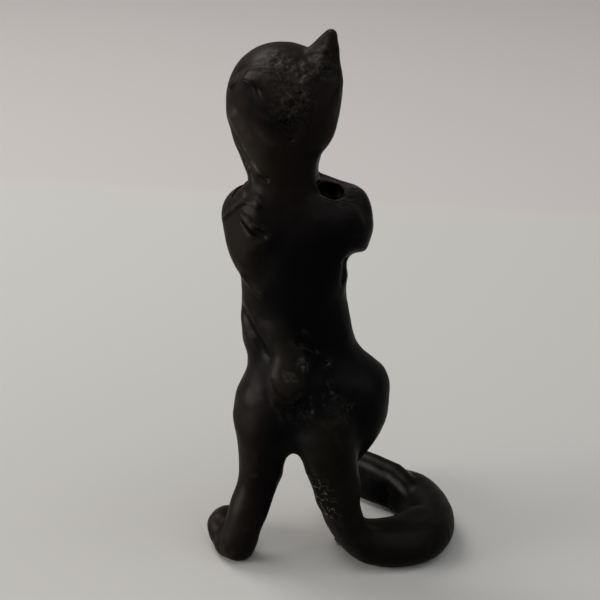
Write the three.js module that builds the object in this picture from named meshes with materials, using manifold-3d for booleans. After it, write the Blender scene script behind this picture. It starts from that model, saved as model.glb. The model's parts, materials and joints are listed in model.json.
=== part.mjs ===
// A small standing cat figure, built by hand from rolled coils and pressed pellets of black clay.
// The cat stands on its hind legs with its arms folded in front of its throat, its head thrown back and
// turned to its left, and its tail brought round on the bench as a third support.
// Each piece is one lump of clay, shaped by itself and set against its neighbours with a thin seam.
// Millimetres. +Z is up, +Y is the way the chest faces and +X is the figure's own right.
// The origin lies on the bench, under the middle of the figure's bounding box.

import * as THREE from "three";
import { ConvexGeometry } from "three/addons/geometries/ConvexGeometry.js";
import { mergeVertices } from "three/addons/utils/BufferGeometryUtils.js";
import Module from "manifold-3d";

const wasm = await Module();
wasm.setup();

// ---- Driving dimensions ----

const SEAM = 0.3; // clearance where two pieces meet
const PRESS = 0.35; // how far soles and tail were pressed flat on the bench

const HIP_HEIGHT = 31; // bench to the middle of the hips
const TORSO_LENGTH = 35; // middle of the hips to the middle of the shoulders
const NECK_LENGTH = 20; // middle of the shoulders to the middle of the skull
const SKULL_RADIUS = 9.8;
const SKULL_RISE = 8.9; // middle of the skull to its crown
const NECK_RADIUS = 5.6;

const HIP_HALF_WIDTH = 10.4;
const HIP_HALF_DEPTH = 8.6;
const WAIST_HALF_WIDTH = 9.75;
const WAIST_HALF_DEPTH = 7.3;
const CHEST_HALF_WIDTH = 9.25;
const CHEST_HALF_DEPTH = 7.2;
const BODY_LEAN = -3.2; // sideways drift from hips to shoulders

const THIGH_RADIUS = 5.6;
const SHIN_RADIUS = 3.9;
const LEFT_STANCE = 13.4; // left heel, outwards from the middle of the hips
const RIGHT_STANCE = 5.6; // right heel, outwards from the middle of the hips
const STRIDE = 6.6; // right heel ahead of the left one
const FOOT_RADIUS = 3;
const FOOT_LENGTH = 8.6; // middle of the heel to the middle of the toes

const ARM_THICKNESS = 3.8; // half the upper arm's thickness, seen from above
const ARM_HALF_HEIGHT = 6.4; // half its height, seen from the side
const WRIST_RADIUS = 2.6;
const ARM_REACH = 14; // middle of the chest to the wrists
const PAW_RADIUS = 2.5;
const PAW_SPREAD = 2.3; // each paw, sideways from the middle of the chest

const TAIL_RADIUS = 4.15;
const TAIL_ROOT_RADIUS = 3.5;
const TAIL_TIP_RADIUS = 3.2;
const TAIL_DROP_RADIUS = 9; // bend from the hanging stretch to the bench
const TAIL_LOOP_RADIUS = 8.4; // bend round on the bench
const TAIL_LOOP_REACH = 5.2; // straight stretch in the middle of that bend
const TAIL_RETURN = 15; // straight stretch back in front of the figure
const TAIL_RETURN_ANGLE = 45; // degrees, from +Y towards -X

const EAR_EDGE_RADIUS = 0.8;
const RIGHT_EAR_HEIGHT = 4.7; // from its root at the crown to its tip
const LEFT_EAR_REACH = 4.2; // from its root on the back of the head to its tip
const MUZZLE_HALF_WIDTH = 4.2;
const MUZZLE_HALF_HEIGHT = 3.3;
const MUZZLE_REACH = 3.2; // beyond the skull
const NOSE_RADIUS = 1.3;
const EYE_RADIUS = 1.7;

// ---- Landmarks that follow from them ----

const hips = new THREE.Vector3(0.8, 0, HIP_HEIGHT);
const chest = hips.clone().add(new THREE.Vector3(BODY_LEAN, 0, TORSO_LENGTH));
const skull = chest.clone().add(new THREE.Vector3(-1.1, 0.4, NECK_LENGTH));

// The head's own frame: turned to the cat's left, tipped over to the left and thrown back.
const headTurn = new THREE.Quaternion().setFromEuler(
  new THREE.Euler(
    THREE.MathUtils.degToRad(19),
    THREE.MathUtils.degToRad(-24),
    THREE.MathUtils.degToRad(31),
    "ZXY",
  ),
);

// A point given from the middle of `origin`, as plain coordinates.
const from = (origin, x, y, z) => [origin.x + x, origin.y + y, origin.z + z];

// A point on or above the skull, `out` from its middle, `side` degrees to the cat's right of the way it
// looks, and `lift` degrees above it.
function onHead(out, side, lift) {
  const a = THREE.MathUtils.degToRad(side);
  const b = THREE.MathUtils.degToRad(lift);
  return new THREE.Vector3(Math.sin(a) * Math.cos(b), Math.cos(a) * Math.cos(b), Math.sin(b))
    .applyQuaternion(headTurn)
    .multiplyScalar(out)
    .add(skull)
    .toArray();
}

// ---- Shaping ----

// A rolled coil: oval sections along a smooth line, with domed ends. Each station has its middle `at`, its
// half width `across` and its half depth `deep`; `deep` is measured as near to `up` as the line allows.
function coil(
  stations,
  { sides = 18, steps = 16, up = [0, 1, 0], caps = [], domeRings = 3, grow = 0 } = {},
) {
  const line = new THREE.CatmullRomCurve3(stations.map((s) => new THREE.Vector3(...s.at)));
  const sizes = new THREE.CatmullRomCurve3(
    stations.map((s) => new THREE.Vector3(s.across, s.deep ?? s.across, 0)),
    false,
    "catmullrom",
    0.5,
  );
  const upwards = new THREE.Vector3(...up);
  const rings = [];
  const ring = (t, beyond, scale) => {
    const along = line.getTangent(t);
    const side = upwards.clone().cross(along).normalize();
    const front = along.clone().cross(side);
    const size = sizes.getPoint(t);
    const middle = line.getPoint(t).addScaledVector(along, beyond);
    const points = [];
    for (let i = 0; i < sides; i++) {
      const a = (2 * Math.PI * i) / sides;
      points.push(
        middle
          .clone()
          .addScaledVector(side, Math.cos(a) * (size.x + grow) * scale)
          .addScaledVector(front, Math.sin(a) * (size.y + grow) * scale),
      );
    }
    rings.push(points);
    return middle;
  };
  const capLength = (t, end) => (caps[end] ?? Math.min(sizes.getPoint(t).x, sizes.getPoint(t).y)) + grow;
  const dome = (t, length, sign, order) => {
    for (const k of order) {
      const a = (k / domeRings) * (Math.PI / 2);
      ring(t, sign * length * Math.sin(a), Math.cos(a));
    }
  };
  const inner = Array.from({ length: domeRings - 1 }, (_, k) => k + 1);
  const startCap = capLength(0, 0);
  const endCap = capLength(1, 1);
  dome(0, startCap, -1, [...inner].reverse());
  for (let i = 0; i <= steps; i++) ring(i / steps, 0, 1);
  dome(1, endCap, 1, inner);

  const startPole = line.getPoint(0).addScaledVector(line.getTangent(0), -startCap);
  const endPole = line.getPoint(1).addScaledVector(line.getTangent(1), endCap);
  const vertices = rings.flat().concat([startPole, endPole]);
  const start = rings.length * sides;
  const triangles = [];
  for (let i = 0; i < sides; i++) {
    const j = (i + 1) % sides;
    triangles.push(start, j, i);
    for (let r = 0; r + 1 < rings.length; r++) {
      const a = r * sides;
      const b = a + sides;
      triangles.push(a + i, a + j, b + j, a + i, b + j, b + i);
    }
    const last = (rings.length - 1) * sides;
    triangles.push(start + 1, last + i, last + j);
  }
  const geometry = new THREE.BufferGeometry().setFromPoints(vertices);
  geometry.setIndex(triangles);
  return solid(geometry);
}

// A closed three.js geometry as a manifold-3d solid.
function solid(geometry) {
  const bare = new THREE.BufferGeometry().setAttribute("position", geometry.getAttribute("position"));
  bare.setIndex(geometry.getIndex());
  const merged = mergeVertices(bare, 1e-5);
  return new wasm.Manifold(
    new wasm.Mesh({
      numProp: 3,
      vertProperties: merged.attributes.position.array,
      triVerts: new Uint32Array(merged.index.array),
    }),
  );
}

// A lump that can be made again a little larger, so that a neighbour is cut clear of it.
const lump = (stations, options = {}) => ({
  body: coil(stations, options),
  around: () => coil(stations, { ...options, grow: SEAM }),
});

// A pinched flap: the rounded pyramid that wraps a small ball at each of its corners.
function flap(corners) {
  const around = (radius) => {
    const points = [];
    for (const corner of corners) {
      const ball = new THREE.IcosahedronGeometry(radius, 1).translate(...corner).getAttribute("position");
      for (let i = 0; i < ball.count; i++) points.push(new THREE.Vector3().fromBufferAttribute(ball, i));
    }
    return solid(mergeVertices(new ConvexGeometry(points).deleteAttribute("normal"), 1e-4));
  };
  return { body: around(EAR_EDGE_RADIUS), around: () => around(EAR_EDGE_RADIUS + SEAM) };
}

// The lump's body with room for each neighbour taken out of it.
const fitted = (piece, ...neighbours) =>
  neighbours.reduce((left, other) => left.subtract(other.around()), piece.body);

// Everything below the bench is pressed away, which leaves a flat sole.
const bench = solid(new THREE.BoxGeometry(400, 400, 40).translate(0, 0, -20));
const pressed = (body) => body.subtract(bench);

// ---- The lumps ----

function makeTorso() {
  const part = (share) => hips.clone().lerp(chest, share);
  const bow = 0.9; // the small of the back is hollow and the belly full
  return lump(
    [
      { at: from(hips, -1.2, 0, -6), across: 5.5, deep: 5.6 },
      { at: from(hips, 0.1, 0, 0), across: HIP_HALF_WIDTH, deep: HIP_HALF_DEPTH },
      { at: from(part(0.3), -0.9, bow, 0), across: WAIST_HALF_WIDTH, deep: WAIST_HALF_DEPTH },
      { at: from(part(0.55), -1.1, bow, 0), across: CHEST_HALF_WIDTH, deep: CHEST_HALF_DEPTH },
      { at: from(part(0.8), 0, 0, 0), across: CHEST_HALF_WIDTH, deep: CHEST_HALF_DEPTH },
      { at: from(chest, -0.3, -0.4, 0.2), across: 7.4, deep: 5.8 },
    ],
    { sides: 24, steps: 22, caps: [5.5, 4.5] },
  );
}

function makeHead() {
  const neck = chest.clone().lerp(skull, 0.3);
  return lump(
    [
      { at: from(neck, -0.4, 0, -1.4), across: NECK_RADIUS, deep: NECK_RADIUS },
      { at: from(skull, -0.4, 0.3, -9.4), across: 7.5, deep: 7.4 },
      { at: from(skull, -0.1, 0.3, -4.4), across: SKULL_RADIUS * 0.96, deep: SKULL_RADIUS * 0.94 },
      { at: from(skull, 0, 0, 0), across: SKULL_RADIUS, deep: SKULL_RADIUS * 0.98 },
    ],
    { sides: 24, steps: 14, caps: [3, SKULL_RISE], domeRings: 7 },
  );
}

function makeRightEar() {
  return flap([
    from(skull, 7.8, -1, 6.1 + RIGHT_EAR_HEIGHT),
    from(skull, 3.6, -1.9, 6.9),
    from(skull, 4, -6.1, 4.9),
    from(skull, 9, -3.6, 2.6),
    from(skull, 7.8, 2.2, 4.2),
    from(skull, 4.7, -0.4, 2),
  ]);
}

function makeLeftEar() {
  return flap([
    from(skull, -3.9 - LEFT_EAR_REACH, -8.3, 3.1),
    from(skull, -5.6, -5.9, 5),
    from(skull, -1.7, -7.1, 5.2),
    from(skull, -3.3, -8.5, 1.6),
    from(skull, -6, -5.4, 0.8),
    from(skull, -2.3, -4.4, 2.6),
  ]);
}

function makeMuzzle() {
  return lump(
    [
      { at: onHead(SKULL_RADIUS - 3, 0, -16), across: MUZZLE_HALF_WIDTH, deep: MUZZLE_HALF_HEIGHT },
      {
        at: onHead(SKULL_RADIUS + MUZZLE_REACH - 2.6, 0, -19),
        across: MUZZLE_HALF_WIDTH * 0.85,
        deep: MUZZLE_HALF_HEIGHT * 0.85,
      },
    ],
    { sides: 16, steps: 5, up: [0, 0, 1], caps: [2, 2.6] },
  );
}

function pellet(at, radius, toward) {
  const out = new THREE.Vector3(...at).sub(toward).normalize();
  const inner = new THREE.Vector3(...at).addScaledVector(out, -radius * 0.5).toArray();
  return lump(
    [
      { at: inner, across: radius },
      { at, across: radius },
    ],
    { sides: 12, steps: 1, up: [0.1, 0.2, 1], caps: [radius * 0.5, radius * 0.6] },
  );
}

// An arm goes out from the back of the shoulder, round the side and back in to the throat, so that it
// stands clear of the chest. `side` is +1 on the cat's right; `out` widens it and `droop` lowers the elbow.
function makeArm(side, out, droop) {
  const at = (x, y, z) => from(chest, side * (x + out) + 0.4, y, z);
  const thin = ARM_THICKNESS;
  const tall = ARM_HALF_HEIGHT;
  return lump(
    [
      { at: at(4, -2.6, -1.3), across: thin * 0.85, deep: tall * 0.62 },
      { at: at(7.9, -2.2, -1 - droop * 0.5), across: thin, deep: tall * 0.96 },
      { at: at(9.4, 2.2, -1.4 - droop), across: thin * 0.92, deep: tall },
      { at: at(8.8, 6.9, -1 - droop * 0.5), across: thin * 0.84, deep: tall * 0.7 },
      { at: at(5.9, ARM_REACH - 3.6, -0.4), across: WRIST_RADIUS + 0.3, deep: WRIST_RADIUS + 0.6 },
      { at: at(PAW_SPREAD + 1.2, ARM_REACH - 1.8, 0.6), across: WRIST_RADIUS, deep: WRIST_RADIUS },
    ],
    { sides: 16, steps: 18, up: [0, 0, 1] },
  );
}

function makePaw(side) {
  const out = (x, y, z) => from(chest, side * x + 0.4, y, z);
  return lump(
    [
      { at: out(PAW_SPREAD + 0.3, ARM_REACH - 1.4, 1.1), across: PAW_RADIUS * 0.9, deep: PAW_RADIUS },
      { at: out(PAW_SPREAD, ARM_REACH - 1.5, 3), across: PAW_RADIUS * 0.8, deep: PAW_RADIUS * 0.9 },
    ],
    { sides: 14, steps: 3, caps: [2, 2] },
  );
}

// A leg from the hip, `rise` above the middle of the hips, to the heel, which is `ahead` of that middle.
// `line` is how far outwards the leg's own middle runs at six even steps down, and `thigh` is its half
// width at the first three of them.
function makeLeg(side, line, rise, ahead, thigh) {
  const heel = SHIN_RADIUS * 0.85 - PRESS;
  const hip = hips.z + rise;
  const last = line.length - 1;
  const at = (step, y) => [
    hips.x + side * line[step],
    (ahead * step) / last + y,
    hip + ((heel - hip) * step) / last,
  ];
  return lump(
    [
      { at: at(0, 0), across: thigh[0], deep: THIGH_RADIUS * 1.25 },
      { at: at(1, 0.2), across: thigh[1], deep: THIGH_RADIUS * 1.25 },
      { at: at(2, 0.4), across: thigh[2], deep: THIGH_RADIUS },
      { at: at(3, 0.3), across: SHIN_RADIUS, deep: SHIN_RADIUS },
      { at: at(4, -0.2), across: SHIN_RADIUS, deep: SHIN_RADIUS },
      { at: at(5, 0), across: SHIN_RADIUS * 0.88, deep: SHIN_RADIUS * 0.88 },
    ],
    { sides: 20, steps: 18, caps: [4.6, SHIN_RADIUS * 0.85] },
  );
}

function makeFoot(side, stance, ahead, splay) {
  const turn = THREE.MathUtils.degToRad(splay);
  const heel = new THREE.Vector3(hips.x + side * stance, ahead, 0);
  const at = (along, z) => [
    heel.x + side * Math.sin(turn) * along,
    heel.y + Math.cos(turn) * along,
    z - PRESS,
  ];
  return lump(
    [
      { at: at(0.5, FOOT_RADIUS), across: FOOT_RADIUS * 0.95, deep: FOOT_RADIUS },
      { at: at(FOOT_LENGTH * 0.6, FOOT_RADIUS), across: FOOT_RADIUS * 0.93, deep: FOOT_RADIUS },
      { at: at(FOOT_LENGTH, FOOT_RADIUS), across: FOOT_RADIUS, deep: FOOT_RADIUS },
    ],
    { sides: 16, steps: 8, up: [0, 0, 1], caps: [FOOT_RADIUS * 0.9, FOOT_RADIUS * 0.9] },
  );
}

// The tail leaves the rump, hangs down behind the right leg, bends on to the bench, goes round to the
// cat's right and comes back in front of it.
function makeTail() {
  const lie = TAIL_RADIUS - PRESS;
  const hang = new THREE.Vector3(hips.x + 5.7, -HIP_HALF_DEPTH + 2.2, lie + TAIL_DROP_RADIUS);
  const turnX = hang.x + TAIL_DROP_RADIUS;
  const nearY = hang.y + 0.4;
  const points = [
    from(hips, 3, -3.4, 2),
    from(hips, 3.6, -6.2, -3),
    [hang.x - 1.2, hang.y - 0.4, (hips.z + hang.z) / 2],
    hang.toArray(),
  ];
  for (const a of [30, 60]) {
    const angle = THREE.MathUtils.degToRad(a);
    points.push([
      turnX - TAIL_DROP_RADIUS * Math.cos(angle),
      hang.y + ((nearY - hang.y) * a) / 90,
      hang.z - TAIL_DROP_RADIUS * Math.sin(angle),
    ]);
  }
  for (const a of [-90, -60, -30, 0, 22, TAIL_RETURN_ANGLE]) {
    const angle = THREE.MathUtils.degToRad(a);
    points.push([
      turnX + TAIL_LOOP_RADIUS * Math.cos(angle),
      nearY + TAIL_LOOP_RADIUS * (1 + Math.sin(angle)) + (TAIL_LOOP_REACH * Math.max(0, a)) / 45,
      lie,
    ]);
  }
  const away = THREE.MathUtils.degToRad(TAIL_RETURN_ANGLE);
  const end = points.at(-1);
  for (const share of [0.5, 1]) {
    points.push([
      end[0] - Math.sin(away) * TAIL_RETURN * share,
      end[1] + Math.cos(away) * TAIL_RETURN * share,
      lie - (TAIL_RADIUS - TAIL_TIP_RADIUS) * share,
    ]);
  }
  const taperFrom = 10;
  return lump(
    points.map((at, i) => {
      const share = Math.max(0, (i - taperFrom) / (points.length - 1 - taperFrom));
      const radius = i < 3 ? TAIL_ROOT_RADIUS : THREE.MathUtils.lerp(TAIL_RADIUS, TAIL_TIP_RADIUS, share);
      return { at, across: radius };
    }),
    { sides: 16, steps: 40, up: [0.3, 0.9, 0.5] },
  );
}

// A tongue of clay smeared on to the small of the back, standing proud at its lower end.
function makeBackPatch() {
  const back = -HIP_HALF_DEPTH;
  return lump(
    [
      { at: from(hips, -3.2, back + 2.6, 11.5), across: 2, deep: 1 },
      { at: from(hips, -3.7, back + 1.7, 7), across: 2.7, deep: 1.4 },
      { at: from(hips, -4, back + 1, 2.8), across: 2.9, deep: 1.7 },
    ],
    { sides: 14, steps: 8, caps: [2, 1.8] },
  );
}

const torso = makeTorso();
const head = makeHead();
const rightEar = makeRightEar();
const leftEar = makeLeftEar();
const muzzle = makeMuzzle();
const nose = pellet(onHead(SKULL_RADIUS + MUZZLE_REACH - 0.6, 0, -14), NOSE_RADIUS, skull);
const rightEye = pellet(onHead(SKULL_RADIUS - 0.4, 27, 8), EYE_RADIUS, skull);
const leftEye = pellet(onHead(SKULL_RADIUS - 0.4, -27, 8), EYE_RADIUS, skull);
const rightArm = makeArm(1, 0.7, 0.8);
const leftArm = makeArm(-1, -0.6, 2);
const rightPaw = makePaw(1);
const leftPaw = makePaw(-1);
const leftHeel = -STRIDE / 2 - 0.5;
const rightHeel = STRIDE / 2 - 0.5;
const rightLine = [8.7, 8.3, 4.9, 4.3, 5, RIGHT_STANCE];
const leftLine = [7.3, 8, 8.3, 9.5, 11.4, LEFT_STANCE];
const rightThigh = [THIGH_RADIUS, THIGH_RADIUS, THIGH_RADIUS * 1.06];
const leftThigh = [THIGH_RADIUS, THIGH_RADIUS, THIGH_RADIUS * 0.86];
const rightLeg = makeLeg(1, rightLine, 3, rightHeel, rightThigh);
const leftLeg = makeLeg(-1, leftLine, 1, leftHeel, leftThigh);
const rightFoot = makeFoot(1, RIGHT_STANCE, rightHeel, 5);
const leftFoot = makeFoot(-1, LEFT_STANCE, leftHeel, 20);
const tail = makeTail();
const backPatch = makeBackPatch();
const neckPellet = pellet(from(chest, -5.9, -4.9, 3.1), 1.3, chest);

// ---- Fitting and materials ----

const clay = { color: 0x1b1816, roughness: 0.42, metalness: 0 };
const wornClay = { color: 0x221d18, roughness: 0.5, metalness: 0 };

const pieces = {
  torso: [fitted(torso, leftLeg, rightLeg), clay],
  head: [fitted(head, torso), clay],
  right_ear: [fitted(rightEar, head), wornClay],
  left_ear: [fitted(leftEar, head), wornClay],
  muzzle: [fitted(muzzle, head), clay],
  nose: [fitted(nose, head, muzzle), clay],
  right_eye: [fitted(rightEye, head, muzzle), clay],
  left_eye: [fitted(leftEye, head, muzzle), clay],
  right_arm: [fitted(rightArm, torso, head), clay],
  left_arm: [fitted(leftArm, torso, head), clay],
  right_paw: [fitted(rightPaw, rightArm, leftArm), clay],
  left_paw: [fitted(leftPaw, leftArm, rightArm, rightPaw), clay],
  neck_pellet: [fitted(neckPellet, torso, head, leftArm), clay],
  back_patch: [fitted(backPatch, torso, leftLeg), wornClay],
  right_leg: [pressed(rightLeg.body), clay],
  left_leg: [pressed(leftLeg.body), clay],
  right_foot: [pressed(fitted(rightFoot, rightLeg)), clay],
  left_foot: [pressed(fitted(leftFoot, leftLeg)), clay],
  tail: [pressed(fitted(tail, torso, rightLeg, leftLeg)), wornClay],
};

const figure = new THREE.Group();
for (const [name, [body, finish]] of Object.entries(pieces)) {
  const { vertProperties, triVerts } = body.getMesh();
  const geometry = new THREE.BufferGeometry();
  geometry.setAttribute("position", new THREE.BufferAttribute(vertProperties, 3));
  geometry.setIndex(new THREE.BufferAttribute(triVerts, 1));
  geometry.computeVertexNormals();
  const mesh = new THREE.Mesh(geometry, new THREE.MeshStandardMaterial(finish));
  mesh.name = name;
  figure.add(mesh);
}

// The origin goes under the middle of the whole figure, on the bench.
const bounds = new THREE.Box3().setFromObject(figure);
const middle = bounds.getCenter(new THREE.Vector3());
figure.position.set(-middle.x, -middle.y, 0);

export default figure;
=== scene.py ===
"""Looks for the standing cat figure of burnished black clay.

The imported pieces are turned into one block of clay, as signed distances in millimetres on a regular grid.
There the lumps are smeared together, pressed, creased and scratched as a potter would, and the surface is
then parted again along the old seams, so that every lump of the figure stays a piece of its own.
"""

import json
import math

import bpy
import numpy as np
import openvdb as vdb
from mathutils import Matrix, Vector


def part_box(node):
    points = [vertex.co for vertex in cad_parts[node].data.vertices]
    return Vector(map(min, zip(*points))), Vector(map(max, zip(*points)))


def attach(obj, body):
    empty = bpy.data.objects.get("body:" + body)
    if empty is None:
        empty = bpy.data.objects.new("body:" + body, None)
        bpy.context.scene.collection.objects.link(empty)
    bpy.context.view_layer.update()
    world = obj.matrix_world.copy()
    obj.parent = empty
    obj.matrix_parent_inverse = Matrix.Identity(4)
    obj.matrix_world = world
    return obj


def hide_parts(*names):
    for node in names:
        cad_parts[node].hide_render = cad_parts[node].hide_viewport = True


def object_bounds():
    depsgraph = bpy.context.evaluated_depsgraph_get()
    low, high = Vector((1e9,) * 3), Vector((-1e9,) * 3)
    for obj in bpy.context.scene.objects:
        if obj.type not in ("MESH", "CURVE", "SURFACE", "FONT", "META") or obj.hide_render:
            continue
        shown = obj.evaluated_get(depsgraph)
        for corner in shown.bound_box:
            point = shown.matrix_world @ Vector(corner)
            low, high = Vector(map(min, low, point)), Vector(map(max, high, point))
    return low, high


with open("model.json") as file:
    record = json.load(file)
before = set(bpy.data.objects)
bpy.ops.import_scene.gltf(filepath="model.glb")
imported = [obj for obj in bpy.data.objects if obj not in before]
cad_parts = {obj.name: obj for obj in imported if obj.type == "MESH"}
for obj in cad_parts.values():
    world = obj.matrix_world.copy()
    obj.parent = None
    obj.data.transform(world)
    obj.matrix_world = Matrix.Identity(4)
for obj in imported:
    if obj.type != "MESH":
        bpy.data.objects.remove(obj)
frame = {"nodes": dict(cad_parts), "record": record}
cad_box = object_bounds()

MM = 0.001
VOXEL = 0.25  # mm
MARGIN = 3.0  # mm of air kept round the figure
BAND = 20  # voxels either side of a surface in which distances are true
SEED = 7
NOISE_GAIN = 2.2  # brings the smoothed random draws back to about -1 to 1
TINY = 1e-9  # keeps divisions away from nought
PUSH = np.array((0.0, 0.927, -0.375))  # the way a stick is pushed in from behind and above
SOLE = 0.06  # mm above the ground at which the clay that stands on it ends
SPREAD = {"nose": 0.7, "right_eye": 0.3, "left_eye": 0.3}  # mm by which small lumps spread at their rims
CAP_DEPTH = 0.8  # mm below the surface to which the closings of the pieces are drawn in

# The pieces in the order in which they are joined: how far each is softened first, and how broadly it is
# smeared on to what is there already, in millimetres.
JOINS = {
    "torso": (0.9, 0.0),
    "head": (0.7, 5.0),
    "right_leg": (0.8, 4.0),
    "left_leg": (0.8, 4.0),
    "tail": (0.6, 3.5),
    "right_arm": (0.6, 4.0),
    "left_arm": (0.6, 4.0),
    "right_foot": (0.5, 2.2),
    "left_foot": (0.5, 2.2),
    "right_paw": (0.4, 1.2),
    "left_paw": (0.4, 1.2),
    "muzzle": (0.4, 1.8),
    "right_ear": (0.35, 1.6),
    "left_ear": (0.35, 1.6),
    "back_patch": (0.4, 1.2),
    "neck_pellet": (0.2, 0.4),
    "nose": (0.2, 0.6),
    "right_eye": (0.2, 0.6),
    "left_eye": (0.2, 0.6),
}


# ---- Distances on a grid ----


def blur(values, sigma):
    """A Gaussian blur along all three axes; sigma is in voxels."""
    reach = max(1, math.ceil(2.5 * sigma))
    steps = np.arange(-reach, reach + 1)
    weights = np.exp(-0.5 * (steps / sigma) ** 2)
    weights = (weights / weights.sum()).astype(np.float32)
    for axis in range(3):
        padded = np.pad(values, [(reach, reach) if a == axis else (0, 0) for a in range(3)], mode="edge")
        values = sum(
            w * np.take(padded, range(k, k + values.shape[axis]), axis=axis)
            for k, w in enumerate(weights)
        )
    return values


def smooth_min(a, b, k):
    """The lesser of two distances, with a fillet about k wide where they meet."""
    if k <= 0:
        return np.minimum(a, b)
    h = np.maximum(k - np.abs(a - b), 0) / k
    return np.minimum(a, b) - h * h * k / 4


def smooth_max(a, b, k):
    return -smooth_min(-a, -b, k)


class Clay:
    """Signed distances in millimetres, negative inside, over the whole figure."""

    def __init__(self, low, high):
        self.first = np.floor((np.array(low) / MM - MARGIN) / VOXEL).astype(int)
        last = np.ceil((np.array(high) / MM + MARGIN) / VOXEL).astype(int)
        self.shape = tuple(last - self.first + 1)
        self.values = np.full(self.shape, BAND * VOXEL, np.float32)
        self.lumps = {}
        self.dabs = {"rough": [], "pale": [], "flecks": [], "grey_and_sheen": [], "painted_shade": []}

    def block(self, low, high):
        """Slices of the grid that cover a box in millimetres, and the open grid of its coordinates."""
        a = np.clip(np.floor(np.array(low) / VOXEL).astype(int) - self.first, 0, self.shape)
        b = np.clip(np.ceil(np.array(high) / VOXEL).astype(int) - self.first + 1, 0, self.shape)
        slices = tuple(slice(i, j) for i, j in zip(a, b))
        axes = [(np.arange(i, j) + f) * VOXEL for i, j, f in zip(a, b, self.first)]
        return slices, np.meshgrid(*axes, indexing="ij", sparse=True)

    def lump(self, node):
        """A CAD node as distances, and the slices they cover."""
        mesh = frame["nodes"][node].data
        mesh.calc_loop_triangles()
        points = np.zeros(len(mesh.vertices) * 3, np.float32)
        mesh.vertices.foreach_get("co", points)
        points = points.reshape(-1, 3) / MM
        corners = np.zeros(len(mesh.loop_triangles) * 3, np.int32)
        mesh.loop_triangles.foreach_get("vertices", corners)
        grid = vdb.FloatGrid.createLevelSetFromPolygons(
            points.astype(np.float32),
            triangles=corners.reshape(-1, 3).astype(np.uint32),
            transform=vdb.createLinearTransform(voxelSize=VOXEL),
            halfWidth=float(BAND),
        )
        room = BAND * VOXEL
        slices, _ = self.block(points.min(0) - room, points.max(0) + room)
        values = np.zeros([s.stop - s.start for s in slices], np.float32)
        grid.copyToArray(values, ijk=tuple(int(s.start + f) for s, f in zip(slices, self.first)))
        return slices, values

    def join(self, node, soften, smear):
        """Smears a CAD node on to the clay that is there already."""
        slices, values = self.lump(node)
        values = blur(values, soften / VOXEL)
        self.lumps[node] = (slices, values)
        self.values[slices] = smooth_min(self.values[slices], values, smear)

    def sample(self, points, values=None, slices=None):
        """Distances at points in millimetres, interpolated."""
        values = self.values if values is None else values
        start = np.array([s.start for s in slices]) if slices else 0
        at = np.asarray(points) / VOXEL - self.first - start
        at = np.clip(at, 0, np.array(values.shape) - 1.001)
        low = at.astype(int)
        part = at - low
        total = 0
        for corner in range(8):
            step = np.array([(corner >> 2) & 1, (corner >> 1) & 1, corner & 1])
            weight = np.prod(np.where(step, part, 1 - part), axis=-1)
            i, j, k = np.moveaxis(low + step, -1, 0)
            total = total + weight * values[i, j, k]
        return total

    def gradient(self, points, step=0.5):
        """Unit vectors out of the clay, from distances `step` mm to either side."""
        sides = []
        for axis in np.eye(3) * step:
            sides.append(self.sample(points + axis) - self.sample(points - axis))
        grad = np.stack(sides, -1)
        return grad / np.maximum(np.linalg.norm(grad, axis=-1, keepdims=True), TINY)

    def place(self, node, across, deep, up):
        """A point in mm, given as shares of a CAD node's box."""
        low, high = (np.array(corner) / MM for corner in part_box(node))
        return low + (high - low) * (across, deep, up)

    def on(self, node, across, deep, up):
        """The point of the surface nearest to such a place."""
        point = self.place(node, across, deep, up)
        for _ in range(6):
            point = point - self.gradient(point) * self.sample(point)
        return point

    def places(self, node, *shares):
        return [self.place(node, *share) for share in shares]

    def trace(self, node, *shares):
        return [self.on(node, *share) for share in shares]

    def sunk(self, point, depth):
        """The point moved straight into the clay; a negative depth moves it out."""
        return point - self.gradient(point) * depth

    def rope(self, points, radii):
        """Distances to a rope through points, in mm, with a radius at each, and the slices they cover."""
        points = [np.asarray(p, float) for p in points]
        radii = list(np.broadcast_to(radii, len(points)).astype(float))
        room = max(radii) + 3.0
        slices, (x, y, z) = self.block(np.min(points, axis=0) - room, np.max(points, axis=0) + room)
        best = None
        alone = [(points[0], points[0], radii[0], radii[0])]
        stretches = list(zip(points, points[1:], radii, radii[1:])) or alone
        for a, b, start, end in stretches:
            along = b - a
            length = max(float(along @ along), TINY)
            t = ((x - a[0]) * along[0] + (y - a[1]) * along[1] + (z - a[2]) * along[2]) / length
            t = np.clip(t, 0, 1)
            gaps = (x - a[0] - t * along[0], y - a[1] - t * along[1], z - a[2] - t * along[2])
            distance = np.sqrt(gaps[0] ** 2 + gaps[1] ** 2 + gaps[2] ** 2) - (start + (end - start) * t)
            best = distance if best is None else np.minimum(best, distance)
        return slices, best.astype(np.float32)

    def lay(self, points, radius, height, smear=0.6):
        """Smears a roll on to the surface points given, standing `height` proud of them."""
        radii = np.broadcast_to(radius, len(points))
        heights = np.broadcast_to(height, len(points))
        middle = [self.sunk(p, r - h) for p, r, h in zip(points, radii, heights)]
        slices, distance = self.rope(middle, radii)
        self.values[slices] = smooth_min(self.values[slices], distance, smear)

    def roll(self, points, radii, smear):
        """Adds a roll of clay through points given in mm."""
        slices, distance = self.rope(points, radii)
        self.values[slices] = smooth_min(self.values[slices], distance, smear)

    def shave(self, point, facing, depth, soften=0.6, room=8.0):
        """Pares a flat facet, `depth` below the surface at a point and facing the way given."""
        facing = np.asarray(facing) / np.linalg.norm(facing)
        slices, (x, y, z) = self.block(point - room, point + room)
        across = (x - point[0]) * facing[0] + (y - point[1]) * facing[1] + (z - point[2]) * facing[2]
        cut = (across + depth).astype(np.float32)
        self.values[slices] = smooth_max(self.values[slices], cut, soften)

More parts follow.
